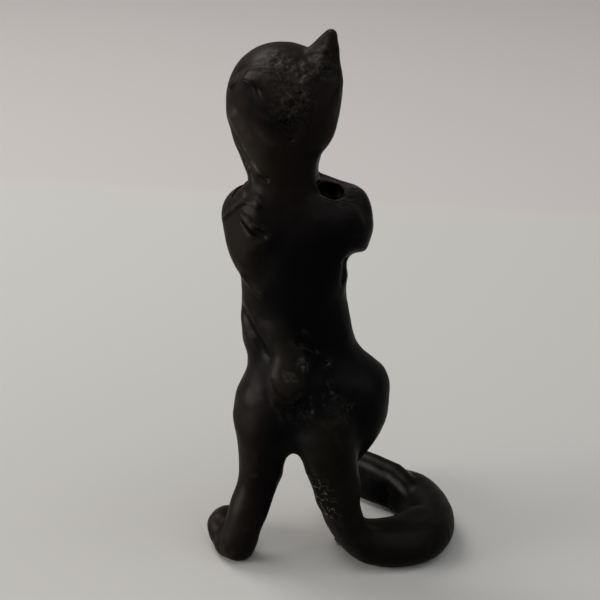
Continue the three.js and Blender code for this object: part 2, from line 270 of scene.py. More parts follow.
    def groove(self, points, radius, depth, soften=0.5):
        """Draws a round-ended tool of this radius along surface points, `depth` into the clay."""
        radii = np.broadcast_to(radius, len(points))
        depths = np.broadcast_to(depth, len(points))
        middle = [self.sunk(p, d - r) for p, r, d in zip(points, radii, depths)]
        slices, distance = self.rope(middle, radii)
        self.values[slices] = smooth_max(self.values[slices], -distance, soften)

    def bore(self, point, start, depth, radius, soften=0.4):
        """Pushes a stick in from behind and above, from `start` mm before a point to `depth` mm past it."""
        ends = [point - PUSH * start, point + PUSH * depth]
        slices, distance = self.rope(ends, radius)
        self.values[slices] = smooth_max(self.values[slices], -distance, soften)

    def dab(self, kind, points, radius, amount=1.0):
        """Notes a streak along surface points for the materials: coarse, pale, grey, flecked or painted
        shade; the grey on the cheek is a painted highlight.
        """
        self.dabs[kind].append((np.asarray(points, float), radius, amount))

    def dabbed(self, kind, places):
        """How strong the streaks of a kind are at each place, 0 to 1."""
        total = np.zeros(len(places))
        for points, radius, amount in self.dabs[kind]:
            near = np.full(len(places), np.inf)
            for a, b in zip(points, points[1:] if len(points) > 1 else points):
                along = b - a
                t = np.clip((places - a) @ along / max(along @ along, TINY), 0, 1)
                near = np.minimum(near, np.linalg.norm(places - a - t[:, None] * along, axis=1))
            total = np.maximum(total, amount * np.exp(-((near / radius) ** 2)))
        return total

    def roughen(self, point, radius, height, size, seed):
        """Leaves the surface coarse within `radius` mm of a point."""
        room = 1.6 * radius
        slices, (x, y, z) = self.block(point - room, point + room)
        away = ((x - point[0]) ** 2 + (y - point[1]) ** 2 + (z - point[2]) ** 2) / radius**2
        fade = np.exp(-(away**2)).astype(np.float32)
        self.values[slices] += height * fade * self.noise(size, seed, slices)

    def noise(self, size, seed, slices=None):
        """Smooth noise over the grid or the slices given, about -1 to 1, with bumps `size` mm across."""
        slices = slices or tuple(slice(0, n) for n in self.shape)
        rng = np.random.default_rng(SEED + seed)
        knots = [int((s.stop - s.start) * VOXEL / size) + 5 for s in slices]
        field = rng.random(knots, np.float32) * 2 - 1
        for axis, part in enumerate(slices):
            n = part.stop - part.start
            at = np.arange(n) * VOXEL / size
            low = at.astype(int)
            t = (at - low).astype(np.float32).reshape([-1 if a == axis else 1 for a in range(3)])
            spline = [(1 - t) ** 3, 3 * t**3 - 6 * t**2 + 4, -3 * t**3 + 3 * t**2 + 3 * t + 1, t**3]
            field = sum(w / 6 * np.take(field, low + k, axis=axis) for k, w in enumerate(spline))
        return field * NOISE_GAIN

    def mesh(self):
        """The surface as (points, quads)."""
        grid = vdb.FloatGrid(BAND * VOXEL)
        grid.gridClass = vdb.GridClass.LEVEL_SET
        grid.transform = vdb.createLinearTransform(voxelSize=VOXEL)
        grid.copyFromArray(self.values, ijk=tuple(int(f) for f in self.first))
        return grid.convertToQuads(isovalue=0.0)


# ---- Modelling ----

# Points are given as shares of a node's box: across, deep and up. Radii, heights, depths and how softly a
# stroke is smeared follow them, in millimetres.


def true_up_body(clay):
    """Fills and pares the broad outlines of the head, the body and the limbs."""
    on, place, places, trace = clay.on, clay.place, clay.places, clay.trace
    clay.lay(trace("head", (0.15, 0.5, 0.86), (0.3, 0.5, 0.94)), 7.0, 0.1, 1.2)
    clay.lay(trace("head", (0.0, 0.42, 0.55), (0.05, 0.4, 0.4)), 5.0, 0.05, 1.2)
    clay.lay([on("left_arm", 0.12, 0.45, 0.84)], 4.0, 0.6, 2.0)
    clay.lay(trace("left_leg", (0.26, 0.45, 0.86), (0.24, 0.48, 0.78)), 5.0, 0.4, 1.2)
    clay.lay(trace("torso", (0.01, 0.5, 0.52), (0.02, 0.5, 0.45)), 5.0, 0.2, 1.2)
    clay.roll(places("left_foot", (0.33, 0.42, 0.7), (0.55, 0.6, 0.72)), 2.5, 1.6)
    clay.roll(places("left_foot", (0.41, 0.3, 0.4), (0.5, 0.12, 0.34), (0.8, 0.0, 0.34)), 2.2, 1.6)
    ear_slope = places("right_ear", (0.58, 0.59, 0.9), (0.28, 0.54, 0.7), (0.02, 0.48, 0.54))
    clay.roll(ear_slope, [0.9, 1.05, 1.1], 0.8)
    clay.groove(trace("right_arm", (0.9, 0.17, 0.7), (0.82, 0.17, 0.88)), 4.0, [0.5, 0.8], 1.0)
    clay.lay(trace("right_arm", (0.96, 0.25, 0.42), (0.86, 0.2, 0.22)), 4.0, -0.1, 1.0)
    clay.groove(trace("right_ear", (1.0, 0.3, 0.1), (1.0, 0.4, 0.5)), 2.0, 0.35, 1.0)
    nape = trace("head", (0.96, 0.5, 0.56), (0.9, 0.5, 0.42), (0.84, 0.48, 0.32), (0.79, 0.45, 0.22))
    clay.groove(nape, 5.0, [0.0, 0.35, 0.5, 0.4], 2.0)
    inside = trace("left_leg", (0.98, 0.3, 0.6), (0.9, 0.3, 0.3), (0.8, 0.3, 0.12))
    clay.groove(inside, 4.0, [-0.2, -0.2, 0.5], 1.2)
    clay.bore(place("left_leg", 0.92, 0.08, 0.57), 8, 14, 1.35, 0.8)
    clay.bore(place("left_leg", 0.9, 0.08, 0.53), 8, 14, 1.3, 1.2)


def true_up_tail(clay):
    """Fills and pares the outline of the tail, and the ankle that shows inside its bend."""
    place, places = clay.place, clay.places
    near_stretch = places("tail", (0.015, 0.12, 0.78), (0.04, 0.1, 0.64), (0.115, 0.1, 0.48))
    clay.shave(clay.on("tail", 0.17, 0.06, 0.17), (-0.75, -0.5, -0.45), 0.7, 1.5, 7.0)
    clay.bore(place("right_leg", 0.18, 0.36, 0.153), 0, 16, 2.2, 0.8)
    clay.bore(place("right_leg", 0.26, 0.36, 0.085), 0, 16, 1.9, 0.8)
    clay.roll(near_stretch, [2.5, 2.6, 2.1], 3.0)
    clay.groove(places("tail", (0.35, 0.12, 0.42), (0.36, 0.14, 0.3)), 3.0, 1.2, 1.5)
    # The far stretch is raised by rolls laid one over another, each a little higher and further back. Each
    # follows the same run, given as (across, deep, share of its height that is kept).
    run = [(0.27, 0.89, 1.0), (0.47, 0.77, 1.0), (0.6, 0.7, 0.95), (0.68, 0.62, 0.85), (0.75, 0.52, 0.65)]
    rolls = [(0.06, -0.05), (0.1, -0.045), (0.14, -0.04), (0.18, -0.035), (0.215, -0.03), (0.24, -0.015)]
    for height, back in rolls:
        middle = [place("tail", across, deep + back, height * kept) for across, deep, kept in run]
        clay.roll(middle, [1.8, 1.8, 1.8, 1.6, 1.0], 1.2)
    clay.roll(places("tail", (0.43, 0.151, 0.135), (0.6, 0.183, 0.135), (0.73, 0.288, 0.13)), 3.8, 0.8)


def shape_head(clay):
    """The back of the head: ridges pinched up to both ears, and the hollows under them."""
    on, trace = clay.on, clay.trace
    left_tip = on("head", 0.05, 0.36, 0.76)
    notch = on("head", 0.48, 0.1, 0.86)
    clay.groove(trace("head", (0.09, 0.22, 0.62), (0.17, 0.17, 0.48)), 8.0, 0.35, 2.5)
    cup = [(0.1, 0.25, 0.5), (0.22, 0.14, 0.44), (0.34, 0.1, 0.4), (0.46, 0.08, 0.38)]
    for spot, radius, depth in zip(cup, (0.9, 1.3, 1.2, 1.1), (1.4, 1.0, 0.4, -0.6)):
        clay.bore(clay.place("left_ear", *spot), 4, depth, radius, 0.6)
    # Painted shade: near-black colour in the hollow under the ridge of the left ear.
    clay.dab("painted_shade", trace("left_ear", *cup), 1.6, 1.0)
    valley = trace("head", (0.22, 0.09, 0.72), (0.27, 0.06, 0.65), (0.36, 0.03, 0.58), (0.5, 0.02, 0.55))
    clay.groove(valley, 3.0, [-0.1, 0.25, 0.3, 0.0], 2.0)
    # Painted shade: near-black colour along the band below the ears.
    clay.dab("painted_shade", valley, 2.2, 1.0)
    between = trace("head", (0.17, 0.26, 0.86), (0.3, 0.18, 0.9), (0.4, 0.14, 0.89))
    clay.lay([left_tip, *between, notch], [0.6, 0.55, 0.5, 0.5, 0.3], 0.5, 0.5)
    clay.groove(trace("head", (0.49, 0.1, 0.87), (0.5, 0.06, 0.79)), [0.6, 0.4], 0.55, 0.3)
    clay.lay([on("head", 0.44, 0.01, 0.69)], 4.0, 0.0, 2.0)
    under = trace("head", (0.2, 0.1, 0.57), (0.36, 0.04, 0.52), (0.54, 0.02, 0.54))
    clay.groove(under, 2.2, [0.0, 0.3, 0.4], 1.4)
    right_ridge = trace("right_ear", (0.6, 0.5, 0.95), (0.5, 0.34, 0.7), (0.16, 0.04, 0.36))
    right_ridge += trace("head", (0.63, 0.07, 0.81), (0.66, 0.05, 0.74))
    clay.lay(right_ridge, [0.5, 0.5, 0.6, 0.6, 0.5], 0.4, 0.6)
    clay.groove([on("right_ear", 0.85, 0.2, 0.55), on("head", 0.84, 0.1, 0.72)], 2.4, 0.45, 1.0)


def mark_head(clay):
    """The coarse crown, and the streaked cheek, painted a lighter grey as a painted highlight."""
    on, trace = clay.on, clay.trace
    coarse = [
        (on("head", 0.46, 0.2, 0.92), 3.6, 0.16),
        (on("head", 0.63, 0.14, 0.87), 3.0, 0.3),
        (on("head", 0.6, 0.03, 0.74), 3.0, 0.26),
        (on("head", 0.53, 0.02, 0.63), 2.2, 0.2),
        (on("right_ear", 0.3, 0.2, 0.5), 2.8, 0.26),
    ]
    for seed, (point, radius, height) in enumerate(coarse):
        clay.roughen(point, radius, height, 0.8, 20 + seed)
        clay.roughen(point, radius, height * 0.8, 0.45, 30 + seed)
        clay.dab("rough", [point], radius)
    clay.groove([on("head", 0.55, 0.05, 0.47)], 0.4, 0.35, 0.1)
    clay.groove(trace("head", (0.29, 0.24, 0.2), (0.33, 0.2, 0.18)), 0.6, 0.6, 0.2)
    cheek = trace("head", (0.03, 0.3, 0.56), (0.12, 0.2, 0.42), (0.28, 0.2, 0.24))
    clay.lay(cheek, [0.8, 1.4, 0.8], 0.2, 1.4)
    # Painted highlight: the cheek is painted a lighter grey where the window's light glances off it.
    clay.dab("grey_and_sheen", cheek, 1.8, 0.9)
    streaks = [
        [(0.1, 0.28, 0.38), (0.19, 0.25, 0.29), (0.27, 0.22, 0.24)],
        [(0.06, 0.4, 0.4), (0.12, 0.34, 0.31), (0.18, 0.31, 0.24)],
        [(0.12, 0.38, 0.27), (0.18, 0.33, 0.2), (0.22, 0.32, 0.15)],
        [(0.2, 0.3, 0.34), (0.23, 0.27, 0.31), (0.26, 0.24, 0.28)],
    ]
    for streak in streaks:
        clay.groove(trace("head", *streak), [0.2, 0.4, 0.25], 0.25, 0.25)
        clay.dab("pale", trace("head", *streak), 0.3, 0.5)


def shape_arms(clay):
    """The pinched fold over the left arm, and the hollow and creases between the neck and the right arm."""
    on, place, trace = clay.on, clay.place, clay.trace
    clay.shave(on("left_arm", 0.12, 0.2, 0.4), (-0.78, -0.6, 0.1), 0.45, 1.0, 7.0)
    fold = trace("left_arm", (0.27, 0.08, 0.78), (0.35, 0.03, 0.73), (0.45, 0.01, 0.66))
    under = trace("left_arm", (0.25, 0.06, 0.7), (0.4, 0.01, 0.63), (0.58, 0.01, 0.56))
    clay.groove(under, [0.4, 0.7, 0.8], 0.7, 0.4)
    clay.lay(fold, [0.5, 0.8, 0.6], 0.5, 0.5)
    rim = [(0.43, 0.3, 0.95), (0.32, 0.12, 0.95), (0.19, 0.15, 0.87), (0.07, 0.23, 0.74), (0.01, 0.3, 0.62)]
    clay.lay(trace("left_arm", *rim), [0.5, 0.5, 0.5, 0.5, 0.3], 0.35, 0.4)
    clay.groove(trace("left_arm", (0.39, 0.38, 0.93), (0.2, 0.3, 0.88)), [0.7, 0.4], 0.6, 0.3)

    clay.bore(place("head", 0.91, 0.28, 0.25), 8, 8, 2.3, 0.8)
    clay.bore(place("right_arm", 0.77, 0.27, -0.04), 8, 8, 1.7, 1.5)
    clay.bore(place("right_arm", 0.26, 0.45, 0.85), 13, 2.0, 1.4, 0.3)
    clay.bore(place("right_arm", 0.34, 0.67, 0.72), 13, 2.0, 1.9, 0.3)
    clay.bore(place("right_arm", 0.42, 0.62, 0.73), 13, 2.0, 1.8, 0.3)
    lip = [on("head", 0.74, 0.3, 0.13), on("torso", 0.63, 0.33, 0.98)]
    lip += trace("right_arm", (0.34, 0.1, 0.85), (0.5, 0.1, 0.88))
    clay.lay(lip, 0.45, 0.2, 0.4)
    creases = [
        [(0.5, 0.5, 0.9), (0.6, 0.45, 0.95), (0.78, 0.36, 0.95)],
        [(0.52, 0.3, 0.96), (0.62, 0.26, 0.97), (0.8, 0.24, 0.92)],
        [(0.54, 0.17, 0.93), (0.66, 0.15, 0.92), (0.84, 0.2, 0.85)],
    ]
    for crease in creases:
        clay.groove(trace("right_arm", *crease), [0.4, 0.35, 0.2], 0.25, 0.3)


def shape_body(clay):
    """Folds in the flanks, and the tongue of clay smeared on to the small of the back."""
    on, trace = clay.on, clay.trace
    clay.lay(trace("torso", (0.04, 0.35, 0.7), (0.17, 0.21, 0.65)), 0.8, 0.25, 0.8)
    flank = trace("torso", (0.02, 0.43, 0.56), (0.12, 0.27, 0.49), (0.25, 0.18, 0.43))
    clay.groove(flank, [1.0, 1.8, 1.2], 0.45, 1.6)
    clay.lay([p + (0.9, 0, 1.2) for p in flank], 1.2, 0.2, 1.6)
    # Painted shade: near-black colour in the fold of the flank, and a broad band of it down the middle of the
    # back.
    clay.dab("painted_shade", flank, 1.3, 0.8)
    clay.dab("painted_shade", trace("torso", (0.72, 0.12, 0.8), (0.62, 0.12, 0.5)), 6.0, 0.8)
    clay.groove(trace("torso", (0.81, 0.27, 0.77), (0.84, 0.33, 0.68)), 0.8, 0.5, 0.5)
    tongue = [on("torso", 0.3, 0.16, 0.52), on("torso", 0.36, 0.1, 0.44), on("back_patch", 0.6, 0.3, 0.5)]
    clay.lay(tongue, [2.2, 3.2, 3.6], 0.3, 2.6)
    clay.dab("grey_and_sheen", tongue, 2.4, 0.8)
    rim = [(0.0, 0.4, 0.46), (0.24, 0.2, 0.32), (0.61, 0.07, 0.22), (0.96, 0.36, 0.34)]
    clay.groove(trace("back_patch", *rim), [0.4, 0.7, 0.7, 0.4], [0.1, 0.3, 0.35, 0.15], 0.5)
    hollow = trace("back_patch", (0.29, 0.08, 0.11), (0.71, 0.21, 0.03)) + [on("torso", 0.52, 0.01, 0.26)]
    clay.groove(hollow, 1.8, 0.5, 0.8)
    under_patch = hollow[1] - (0, 0, 1)
    clay.roughen(under_patch, 3.0, 0.15, 0.6, 40)
    clay.dab("rough", [under_patch], 3.0, 0.3)
    # Painted shade: near-black colour in the hollow under the tongue of clay.
    clay.dab("painted_shade", hollow, 1.5, 0.8)


def mark_body(clay):
    """A small fold in the back, scratches down the tongue of clay, and chips beside it."""
    on, trace = clay.on, clay.trace
    clay.lay(trace("torso", (0.51, 0.15, 0.515), (0.58, 0.15, 0.495)), [0.6, 0.4], 0.4, 0.4)
    clay.groove(trace("torso", (0.46, 0.14, 0.485), (0.62, 0.14, 0.455)), [0.7, 0.4], 0.4, 0.4)
    clay.lay(trace("torso", (0.5, 0.14, 0.462), (0.56, 0.14, 0.45)), 0.5, 0.3, 0.4)
    for step in range(6):
        across = 0.36 + 0.07 * step
        line = trace("back_patch", (across, 0.35, 0.66 - 0.01 * step), (across + 0.1, 0.35, 0.5))
        clay.groove(line, 0.2, 0.12, 0.1)
        clay.dab("pale", line, 0.2, 0.25)
    clay.roughen(on("torso", 0.47, 0.13, 0.41), 1.6, 0.15, 0.5, 41)
    clay.dab("pale", trace("torso", (0.46, 0.13, 0.42), (0.48, 0.13, 0.4)), 0.8, 0.6)
    chips = [(0.56, 0.12, 0.43), (0.7, 0.13, 0.4), (0.72, 0.1, 0.34), (0.76, 0.08, 0.3), (0.85, 0.1, 0.25)]
    for number, chip in enumerate(chips):
        spot = on("torso", *chip)
        clay.roughen(spot, 0.9, 0.2, 0.5, 50 + number)
        clay.dab("flecks", [spot], 0.8, 0.5)


def shape_legs_and_tail(clay):
    """The hollow behind the left knee, scratches over the hips, flecks on the right leg and the tail, and
    painted shade on the far stretch of the tail."""
    on, trace = clay.on, clay.trace
    clay.groove(trace("left_leg", (0.66, 0.08, 0.58), (0.6, 0.08, 0.48)), 5.0, 0.4, 1.5)
    clay.lay([on("left_leg", 0.47, 0.11, 0.49)], 0.9, 0.25, 0.4)
    scratches = [(0.56, 0.3, 0.06), (0.66, 0.31, 0.04), (0.86, 0.26, 0.07), (0.82, 0.25, 0.05)]
    for across, up, length in scratches:
        line = trace("torso", (across, 0.04, up), (across + 0.01, 0.04, up - length))
        clay.groove(line, 0.3, 0.2, 0.2)
        clay.dab("pale", line, 0.2, 0.25)
    # Painted shade: near-black colour over the far stretch of the tail, which lies in the shadow of the right
    # leg.
    far_stretch = clay.places("tail", (0.3, 0.85, 0.14), (0.5, 0.72, 0.14), (0.66, 0.62, 0.12))
    clay.dab("painted_shade", far_stretch, 5.0, 1.0)
    limb = [on("right_leg", 0.09, 0.46, 0.48)] + trace("tail", (0.04, 0.04, 0.56), (0.1, 0.03, 0.42))
    clay.dab("flecks", limb, 1.8, 1.0)


def shape_face(clay):
    """A plain face and plain toes."""
    trace = clay.trace
    clay.lay(trace("nose", (0.25, 0.7, 0.6), (0.75, 0.9, 0.6)), 0.6, 0.2, 0.25)
    middle = trace("muzzle", (0.28, 0.95, 0.66), (0.3, 1.0, 0.35))
    clay.groove(middle, 0.25, 0.25, 0.15)
    left_end, right_end = trace("muzzle", (0.05, 0.7, 0.35), (0.75, 0.95, 0.35))
    clay.groove([left_end, middle[1], right_end], 0.3, 0.3, 0.15)
    for paw in ("left_paw", "right_paw", "left_foot", "right_foot"):
        for across in (0.35, 0.65):
            clay.groove(trace(paw, (across, 1.0, 0.7), (across, 1.0, 0.25)), 0.3, 0.35, 0.2)


def stand(clay):
    """Cuts the soles and the underside of the tail flat, a hair above the ground."""
    wide = 99  # mm, more than the figure measures
    start = clay.first * VOXEL
    slices, (_, _, height) = clay.block(start, start + (wide, wide, 3 * MARGIN))
    clay.values[slices] = smooth_max(clay.values[slices], (SOLE - height).astype(np.float32), 0.3)


def model_clay():
    """The whole figure as one block, from the broad outlines to the fine unevenness of the surface."""
    clay = Clay(*cad_box)
    for node, (soften, smear) in JOINS.items():
        clay.join(node, soften, smear)
    true_up_body(clay)
    true_up_tail(clay)
    clay.values += 0.12 * clay.noise(5.0, 1) + 0.08 * clay.noise(2.4, 2)
    for shape in (
        shape_head,
        mark_head,
        shape_arms,
        shape_body,
        mark_body,
        shape_legs_and_tail,
        shape_face,
    ):
        shape(clay)
    clay.values += 0.04 * clay.noise(1.2, 3) + 0.012 * clay.noise(0.6, 4)
    stand(clay)
    return clay


# ---- Pieces ----


def nearest_lump(clay, points):
    """For each point, the number of the lump that it belongs to."""
    best = np.full(len(points), np.inf)
    owner = np.zeros(len(points), int)
    for number, (name, (slices, values)) in enumerate(clay.lumps.items()):
        low = (np.array([s.start for s in slices]) + clay.first) * VOXEL
        high = (np.array([s.stop - 1 for s in slices]) + clay.first) * VOXEL
        near = np.all((points > low) & (points < high), axis=1).nonzero()[0]
        distance = clay.sample(points[near], values, slices) - SPREAD.get(name, 0)
        closer = distance < best[near]
        best[near[closer]] = distance[closer]
        owner[near[closer]] = number
    return owner


def tidy_owners(owner, quads, rounds=3):
    """Gives specks of one lump inside another to the lump round them, unless too little would be left."""
    least = 0.6  # share of a lump's faces
    first = owner
    for _ in range(rounds):
        votes = np.zeros((quads.max() + 1, first.max() + 1), np.int16)
        for corner in range(4):
            np.add.at(votes, (quads[:, corner], owner), 1)
        owner = votes[quads].sum(1).argmax(1)
    for lump in range(first.max() + 1):
        if (owner == lump).sum() < least * (first == lump).sum():
            owner[first == lump] = lump
    return owner


def openings(faces):
    """The rims along which a piece was parted from its neighbours, as rings of points."""
    edges = np.concatenate([faces[:, [k, (k + 1) % 4]] for k in range(4)])
    keys = edges.min(1) * (faces.max() + 1) + edges.max(1)
    _, index, counts = np.unique(keys, return_index=True, return_counts=True)
    following = {}
    for a, b in edges[index[counts == 1]].tolist():
        following.setdefault(a, []).append(b)
    rings = []
    while following:
        ring = [next(iter(following))]
        while True:
            onward = following[ring[-1]]
            point = onward.pop()
            if not onward:
                del following[ring[-1]]
            if point == ring[0]:
                break
            ring.append(point)
        rings.append(ring)
    return rings


def close_piece(clay, points, faces):
    """The points and triangles that shut a piece, out of sight inside the clay."""
    middles, fans = [], []
    for ring in openings(faces):
        middle = points[ring].mean(0)
        depth = clay.sample(middle[None])[0]
        if depth > -CAP_DEPTH:
            middle = middle - clay.gradient(middle[None])[0] * (depth + CAP_DEPTH)
        centre = len(points) + len(middles)
        middles.append(middle)
        fans += [(b, a, centre) for a, b in zip(ring, ring[1:] + ring[:1])]
    return np.array(middles).reshape(-1, 3), np.array(fans, int).reshape(-1, 3)


def surface_looks(clay, points):
    """What the materials are told of every point: its streaks, how much painted light of the top and the left
    side it takes, and how sharp an edge.
    """
    looks = {kind: clay.dabbed(kind, points) for kind in clay.dabs}
    # Painted light: browner and lighter colour high on the figure and on its left, the top and the side where
    # the lamps fall.
    lit_from, lit_full = 62, 76  # mm above the ground
    left_from, left_full = -10, -16  # mm across
    high_up = np.clip((points[:, 2] - lit_from) / (lit_full - lit_from), 0, 1)
    on_the_left = np.clip((left_from - points[:, 0]) / (left_from - left_full), 0, 1)
    looks["lit_brown"] = np.maximum(high_up, 0.8 * on_the_left)
    softened = blur(clay.values, 2.4)
    edge_height = 0.12  # mm above the softened surface at which an edge counts as fully sharp
    looks["edge"] = np.clip(clay.sample(points, softened) / edge_height, -1, 1)
    return looks


def make_mesh(name, places, quads, triangles, normals):
    """A smooth mesh with its own normals; places are in metres."""
    corners = np.concatenate([quads.ravel(), triangles.ravel()])
    first_of_quads = 4 * np.arange(len(quads))
    first_of_triangles = quads.size + 3 * np.arange(len(triangles))
    starts = np.concatenate([first_of_quads, first_of_triangles])
    mesh = bpy.data.meshes.new(name)
    mesh.vertices.add(len(places))
    mesh.vertices.foreach_set("co", places.astype(np.float32).ravel())
    mesh.loops.add(len(corners))
    mesh.loops.foreach_set("vertex_index", corners.astype(np.int32))
    mesh.polygons.add(len(starts))
    mesh.polygons.foreach_set("loop_start", starts.astype(np.int32))
    mesh.update(calc_edges=True)
    mesh.validate()
    mesh.shade_smooth()
    mesh.normals_split_custom_set_from_vertices(normals)
    return mesh


def build_pieces(clay):
    """Parts the clay into one piece for each lump; gives the pieces by the names of their nodes."""
    points, quads = clay.mesh()
    quads = quads[:, ::-1].astype(int)
    owner = tidy_owners(nearest_lump(clay, points[quads].mean(1)), quads)
    normals = clay.gradient(points, 0.3)
    looks = surface_looks(clay, points)
    made = {}
    for number, name in enumerate(clay.lumps):
        used, faces = np.unique(quads[owner == number], return_inverse=True)
        faces = faces.reshape(-1, 4)
        middles, fans = close_piece(clay, points[used], faces)
        places = np.concatenate([points[used], middles]) * MM
        inner = np.tile((0.0, 0.0, 1.0), (len(middles), 1))
        mesh = make_mesh(name, places, faces, fans, np.concatenate([normals[used], inner]))
        for kind, values in looks.items():
            layer = mesh.attributes.new(kind, "FLOAT", "POINT")
            padded = np.append(values[used], np.zeros(len(middles)))
            layer.data.foreach_set("value", padded.astype(np.float32))
        piece = bpy.data.objects.new("clay_" + name, mesh)
        bpy.context.scene.collection.objects.link(piece)
        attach(piece, "root")
        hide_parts(name)
        made[name] = piece
    return made


# ---- Materials ----

DARK = (0.0007, 0.0006, 0.0008)
# A lighter brown, painted on as light over the top and the left side.
LIT_BROWN = (0.0032, 0.0021, 0.0018)
OLIVE = (0.0014, 0.0013, 0.0009)
# The lighter tint of wear, also used for the painted highlight on the cheek.
WORN_AND_SHEEN = (0.010, 0.0085, 0.0065)
# Near black for painted shade in hollows, folds, the back and the shadowed stretch of the tail.
SHADE_BLACK = (0.0002, 0.0002, 0.0003)
CHALK = (0.07, 0.07, 0.06)
# Each clay's own tint, the lighter brown painted on as light where it falls on the top and the left side, and
# its roughness.
CLAYS = {
    "body_clay": (DARK, LIT_BROWN, 0.42),
    "face_clay": (DARK, LIT_BROWN, 0.36),
    "ear_clay": (DARK, LIT_BROWN, 0.44),
    "worn_clay": ((0.0024, 0.0021, 0.0019), LIT_BROWN, 0.4),
    "tail_clay": (OLIVE, OLIVE, 0.42),
}


class Graph:
    """A material's nodes, with short ways to add the kinds that the clay and the paper need."""

    def __init__(self, name):
        self.material = bpy.data.materials.new(name)
        self.material.use_nodes = True
        self.nodes = self.material.node_tree.nodes
        self.shader = self.nodes["Principled BSDF"]
        self.place = self.nodes.new("ShaderNodeTexCoord").outputs["Object"]

    def feed(self, socket, value):
        """Sets a socket to a number or a colour, or links another node's output to it."""
        if isinstance(value, bpy.types.NodeSocket):
            self.material.node_tree.links.new(value, socket)
        elif isinstance(value, tuple):
            socket.default_value = (*value, 1)
        else:
            socket.default_value = value

    def noise(self, scale, detail=3.0):
        node = self.nodes.new("ShaderNodeTexNoise")
        self.feed(node.inputs["Scale"], scale)
        self.feed(node.inputs["Detail"], detail)
        self.feed(node.inputs["Vector"], self.place)
        return node.outputs["Fac"]

    def ramp(self, source, low, high, bottom=0.0, top=1.0):
        node = self.nodes.new("ShaderNodeMapRange")
        for key, value in (("From Min", low), ("From Max", high), ("To Min", bottom), ("To Max", top)):
            self.feed(node.inputs[key], value)
        self.feed(node.inputs["Value"], source)
        return node.outputs["Result"]

    def combine(self, operation, a, b):
        node = self.nodes.new("ShaderNodeMath")
        node.operation = operation
        self.feed(node.inputs[0], a)
        self.feed(node.inputs[1], b)
        return node.outputs["Value"]

    def times(self, a, b):
        return self.combine("MULTIPLY", a, b)

    def plus(self, a, b):
        return self.combine("ADD", a, b)

    def greatest(self, a, *others):
        for b in others:
            a = self.combine("MAXIMUM", a, b)
        return a

    def layer(self, kind):
        node = self.nodes.new("ShaderNodeAttribute")
        node.attribute_name = kind
        return node.outputs["Fac"]

    def mix(self, share, a, b):
        node = self.nodes.new("ShaderNodeMix")
        node.data_type = "RGBA"
        self.feed(node.inputs["Factor"], share)
        self.feed(node.inputs["A"], a)
        self.feed(node.inputs["B"], b)
        return node.outputs["Result"]


def wear_and_sheen_of(graph):
    """How worn the clay is: in patches, on rubbed edges, where it is coarse and where it is grey; the grey of
    the cheek is a painted highlight.
    """
    patches = graph.ramp(graph.noise(170.0), 0.4, 0.7)
    rubbed = graph.times(graph.ramp(graph.layer("edge"), 0.3, 1.0), graph.ramp(graph.noise(600.0), 0.4, 0.65))
    scuffed = graph.times(graph.layer("rough"), graph.ramp(graph.noise(1400.0), 0.5, 0.62))
    # Grey streaks: a grey smear on the back, and the painted highlight on the cheek.
    grey_and_sheen = graph.times(graph.layer("grey_and_sheen"), 0.7)
    return graph.greatest(graph.times(patches, 0.12), graph.times(rubbed, 0.6), scuffed, grey_and_sheen)


def marks_of(graph):
    """How chalky the clay is: pale smears, flecks, and fine wandering lines where it is coarse."""
    off_middle = graph.combine("ABSOLUTE", graph.combine("SUBTRACT", graph.noise(900.0, 2.0), 0.5), 0.0)
    lines = graph.ramp(off_middle, 0.0, 0.03, 1.0, 0.0)
    smears = graph.times(graph.layer("pale"), graph.ramp(graph.noise(1500.0), 0.42, 0.6))
    broken_lines = graph.times(lines, graph.ramp(graph.noise(700.0), 0.46, 0.52))
    flecks = graph.times(graph.layer("flecks"), broken_lines)
    squiggles = graph.times(graph.layer("rough"), lines)
    return graph.greatest(graph.times(smears, 0.6), flecks, graph.times(squiggles, 0.22))


def relief_of(graph):
    """The normals of a fine grain, much deeper where the clay is coarse."""
    grain = graph.plus(graph.times(graph.noise(1500.0, 4.0), 0.4), graph.times(graph.noise(4500.0, 2.0), 0.3))
    coarse = graph.times(graph.layer("rough"), graph.times(graph.noise(1600.0, 3.0), 12.0))
    bump = graph.nodes.new("ShaderNodeBump")
    graph.feed(bump.inputs["Strength"], 0.35)
    graph.feed(bump.inputs["Distance"], 0.00005)
    graph.feed(bump.inputs["Height"], graph.plus(grain, coarse))
    return bump.outputs["Normal"]


def clay_material(name, dark, lit_brown, roughness):
    """Burnished clay: nearly black, browner and duller where it is worn, with pores and fine scratches;
    painted lighter and browner as light on the top and the left side, painted lighter on the cheek as a
    highlight, and painted near black as shade in hollows and over the back.
    """
    graph = Graph(name)
    wear_and_sheen = wear_and_sheen_of(graph)
    # Painted shade: where its streaks lie, the colour turns near black and shows no wear, and the clay is
    # made glossier.
    unshaded = graph.combine("SUBTRACT", 1.0, graph.layer("painted_shade"))
    # Painted light: a lighter brown on the top and the left side.
    base = graph.mix(graph.layer("lit_brown"), dark, lit_brown)
    # Wear, and the painted highlight on the cheek, lighten the colour.
    base = graph.mix(graph.times(wear_and_sheen, unshaded), base, WORN_AND_SHEEN)
    base = graph.mix(graph.layer("painted_shade"), base, SHADE_BLACK)
    graph.feed(graph.shader.inputs["Base Color"], graph.mix(marks_of(graph), base, CHALK))
    polish = graph.ramp(graph.noise(420.0), 0.3, 0.7, roughness - 0.07, roughness + 0.07)
    dull = graph.plus(polish, graph.times(wear_and_sheen, 0.08))
    dull = graph.plus(dull, graph.times(graph.layer("painted_shade"), -0.14))
    graph.feed(graph.shader.inputs["Roughness"], dull)
    graph.feed(graph.shader.inputs["IOR"], 1.1)
    graph.feed(graph.shader.inputs["Normal"], relief_of(graph))
    return graph.material


